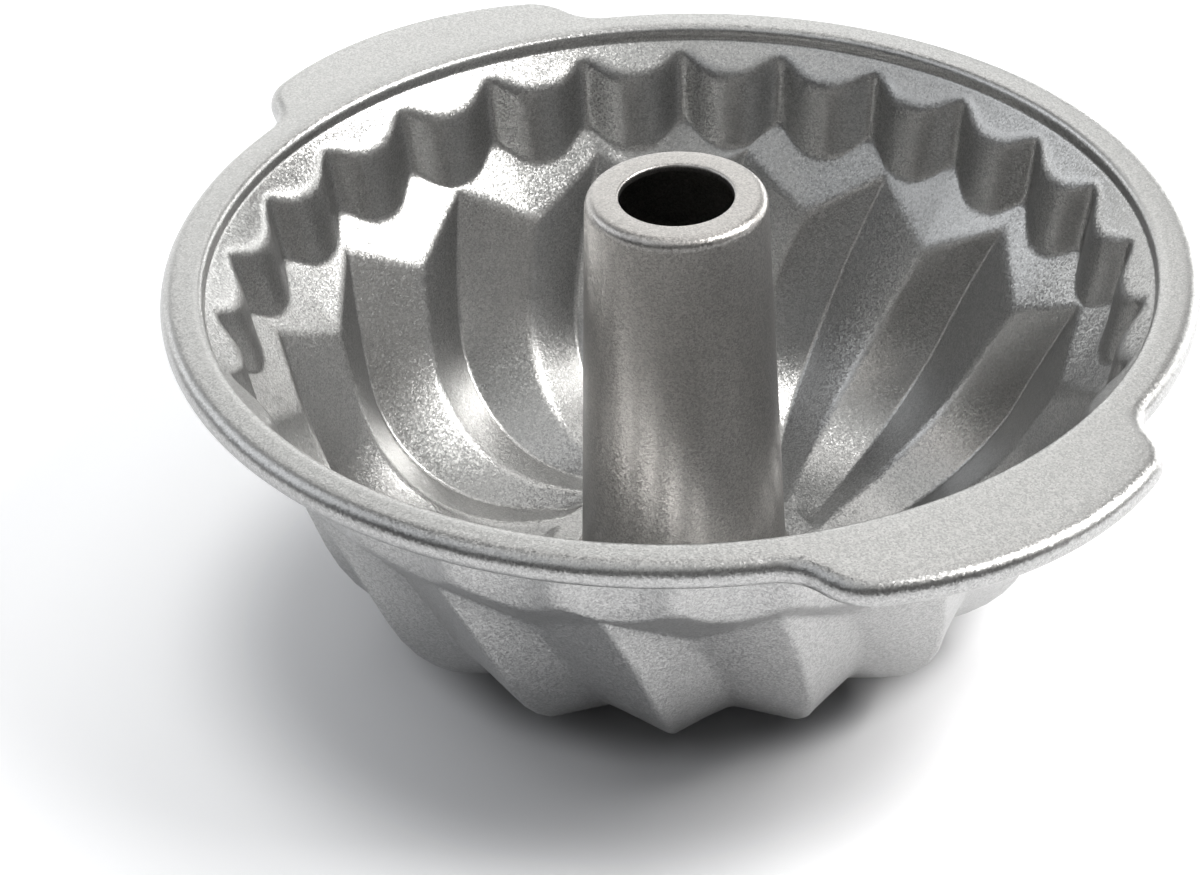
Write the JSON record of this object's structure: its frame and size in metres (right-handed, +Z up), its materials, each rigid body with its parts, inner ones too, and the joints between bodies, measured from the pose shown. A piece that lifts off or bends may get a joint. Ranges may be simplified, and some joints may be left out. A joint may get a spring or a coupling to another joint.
{
  "type": "fluted tube cake pan",
  "caption": "Round pressed-metal ring cake pan with spiral flutes, a scalloped band, a rolled rim with two flat handles and a hollow centre tube.",
  "frame": {"origin": "on the centre tube's axis, in the plane that the pan stands on, under the middle of its bounding box", "axes": "+Z up along the centre tube, open side up; +X through the middle of one handle, so the two handles lie along X; +Y square to both"},
  "size_m": [0.2952, 0.2596, 0.116],
  "materials": {
    "coated_sheet": "silver-grey nonstick coating on steel sheet, satin, with a fine metallic speckle",
    "bare_wire": "bare drawn steel, closed inside the rolled rim"
  },
  "bodies": {
    "root": {"pan_shell": "coated_sheet", "centre_tube": "coated_sheet", "rim_wire": "bare_wire"}
  },
  "joints": []
}
